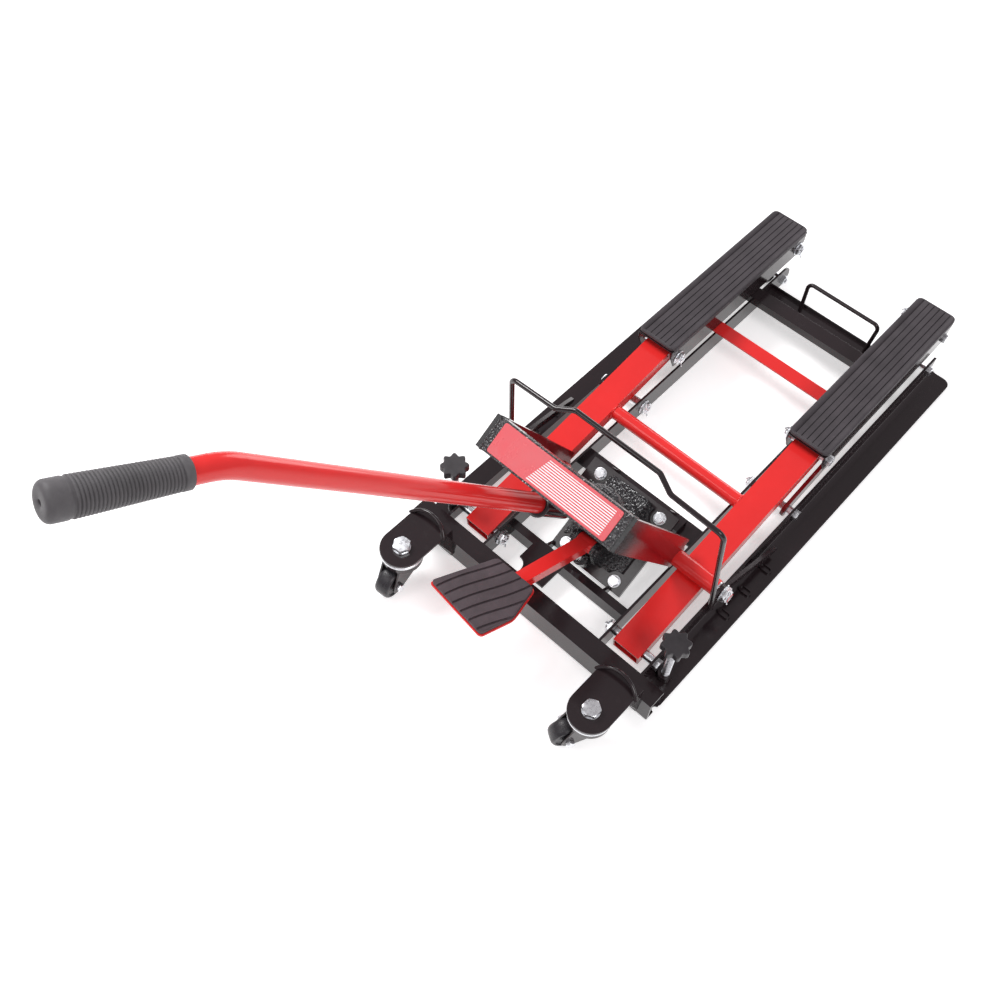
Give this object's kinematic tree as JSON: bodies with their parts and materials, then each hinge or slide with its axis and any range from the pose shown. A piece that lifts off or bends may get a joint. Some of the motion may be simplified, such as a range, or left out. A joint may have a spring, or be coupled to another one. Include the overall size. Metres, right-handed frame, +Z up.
{
  "type": "car jack",
  "caption": "Low wheeled scissor-arm floor jack for motorcycles and light vehicles: foot-pumped inclined ram, twin padded saddles, lock frame, swivel casters and a tow handle.",
  "frame": {"origin": "on the floor, midway between the sides and midway along the overall length with the handle in its stowed, leaning position", "axes": "+Z up, +Y towards the saddles, +X to the right as seen from behind the handle looking along +Y"},
  "size_m": [0.466, 1.3384, 0.6738],
  "materials": {
    "frame_black": "gloss",
    "arm_red": "gloss",
    "link_red": "gloss",
    "hammered_black": "hammered",
    "zinc": "bright zinc",
    "chromed_steel": "polished",
    "pad_rubber": "matt",
    "grip_rubber": "satin",
    "knob_plastic": "satin",
    "label_sheet": "gloss",
    "wheel_tread": "satin"
  },
  "bodies": {
    "frame": {"left_outer_rail": "frame_black", "right_outer_rail": "frame_black", "left_inner_rail": "frame_black", "right_inner_rail": "frame_black", "front_crossbar": "frame_black", "pump_bars": "frame_black", "rear_channel": "frame_black", "rear_bail": "frame_black", "left_caster_bracket": "frame_black", "right_caster_bracket": "frame_black", "tie_down_loops": "frame_black", "pivot_bolts": "zinc", "levelling_collars": "frame_black", "pump_base_plate": "frame_black", "pump_casting": "hammered_black", "oil_reservoir": "hammered_black", "ram_barrel": "hammered_black", "pump_bolts": "zinc", "handle_boss": "hammered_black", "pedal_pin": "frame_black", "caster_bolts": "zinc"},
    "arms": {"left_arm": "arm_red", "right_arm": "arm_red", "arm_cross_tube": "arm_red", "lift_shafts": "arm_red", "shaft_nuts": "zinc"},
    "links": {"left_link": "link_red", "right_link": "link_red", "link_tie_bar": "arm_red"},
    "left_saddle": {"left_saddle": "frame_black", "left_saddle_pad": "pad_rubber", "left_saddle_bolts": "zinc"},
    "right_saddle": {"right_saddle": "frame_black", "right_saddle_pad": "pad_rubber", "right_saddle_bolts": "zinc"},
    "yoke": {"yoke_box": "hammered_black", "yoke_straps": "link_red", "yoke_label": "label_sheet"},
    "ram": {"ram": "chromed_steel", "ram_head": "zinc"},
    "pedal": {"pedal_arm": "arm_red", "pedal_plate": "arm_red", "pedal_pad": "pad_rubber"},
    "plunger": {"pump_plunger": "chromed_steel"},
    "handle": {"handle_collar": "frame_black", "handle_tube": "arm_red", "handle_grip": "grip_rubber"},
    "lock_frame": {"lock_struts": "frame_black", "lock_bail": "frame_black"},
    "left_swivel": {"left_caster_fork": "frame_black", "left_caster_axle": "zinc"},
    "right_swivel": {"right_caster_fork": "frame_black", "right_caster_axle": "zinc"},
    "left_caster": {"left_caster_wheel": "wheel_tread"},
    "right_caster": {"right_caster_wheel": "wheel_tread"},
    "left_rear": {"left_rear_wheel": "wheel_tread"},
    "right_rear": {"right_rear_wheel": "wheel_tread"},
    "left_leveller": {"left_levelling_screw": "knob_plastic"},
    "right_leveller": {"right_levelling_screw": "knob_plastic"}
  },
  "joints": [
    {"name": "lift", "type": "hinge", "parent": "frame", "child": "arms", "pos_m": [0, -0.121, 0.0215], "axis": [1, 0, 0], "range_deg": [0, 41]},
    {"name": "links", "type": "hinge", "parent": "frame", "child": "links", "pos_m": [0, 0.227, 0.0215], "axis": [1, 0, 0], "range_deg": [0, 41]},
    {"name": "left_saddle", "type": "hinge", "parent": "arms", "child": "left_saddle", "pos_m": [-0.1485, 0.307, 0.08013], "axis": [1, 0, 0], "range_deg": [-41, 0]},
    {"name": "right_saddle", "type": "hinge", "parent": "arms", "child": "right_saddle", "pos_m": [0.1485, 0.307, 0.08013], "axis": [1, 0, 0], "range_deg": [-41, 0]},
    {"name": "yoke", "type": "hinge", "parent": "arms", "child": "yoke", "pos_m": [0, 0.01358, 0.06537], "axis": [1, 0, 0], "range_deg": [-43.46, 0]},
    {"name": "ram", "type": "slide", "parent": "frame", "child": "ram", "axis": [0, -0.4848, 0.8746], "range_m": [0, 0.0986]},
    {"name": "lock", "type": "hinge", "parent": "arms", "child": "lock_frame", "pos_m": [0, 0.01358, 0.06537], "axis": [1, 0, 0], "range_deg": [-84.05, 0]},
    {"name": "pedal", "type": "hinge", "parent": "frame", "child": "pedal", "pos_m": [0.007, -0.068, 0.08], "axis": [1, 0, 0], "range_deg": [-18, 8]},
    {"name": "plunger", "type": "slide", "parent": "frame", "child": "plunger", "axis": [0, -0.4848, 0.8746], "range_m": [-0.0024, 0.0053]},
    {"name": "handle", "type": "hinge", "parent": "frame", "child": "handle", "pos_m": [-0.039, -0.119, 0.196], "axis": [-0.2076, -0.6875, 0.6959], "range_deg": [-60, 60]},
    {"name": "left_swivel", "type": "hinge", "parent": "frame", "child": "left_swivel", "pos_m": [-0.181, -0.262, 0.073], "axis": [0, 0, 1], "continuous": true},
    {"name": "right_swivel", "type": "hinge", "parent": "frame", "child": "right_swivel", "pos_m": [0.181, -0.262, 0.073], "axis": [0, 0, 1], "continuous": true},
    {"name": "left_caster_spin", "type": "hinge", "parent": "left_swivel", "child": "left_caster", "pos_m": [-0.17786, -0.29184, 0.025], "axis": [0.9945, 0.1045, 0], "continuous": true},
    {"name": "right_caster_spin", "type": "hinge", "parent": "right_swivel", "child": "right_caster", "pos_m": [0.1651, -0.28744, 0.025], "axis": [0.848, -0.5299, 0], "continuous": true},
    {"name": "left_rear_spin", "type": "hinge", "parent": "frame", "child": "left_rear", "pos_m": [-0.152, 0.63, 0.022], "axis": [1, 0, 0], "continuous": true},
    {"name": "right_rear_spin", "type": "hinge", "parent": "frame", "child": "right_rear", "pos_m": [0.152, 0.63, 0.022], "axis": [1, 0, 0], "continuous": true},
    {"name": "left_level", "type": "slide", "parent": "frame", "child": "left_leveller", "axis": [0, 0, 1], "range_m": [-0.006, 0.01]},
    {"name": "right_level", "type": "slide", "parent": "frame", "child": "right_leveller", "axis": [0, 0, 1], "range_m": [-0.006, 0.01]}
  ],
  "couplings": [
    {"joint": "links", "follows": "lift", "ratio": 1},
    {"joint": "left_saddle", "follows": "lift", "ratio": -1},
    {"joint": "right_saddle", "follows": "lift", "ratio": -1},
    {"joint": "yoke", "follows": "lift", "ratio": -1.06},
    {"joint": "ram", "follows": "lift", "m_per_rad": 0.1377},
    {"joint": "lock", "follows": "lift", "ratio": -2.05},
    {"joint": "plunger", "follows": "pedal", "m_per_rad": -0.0165}
  ]
}
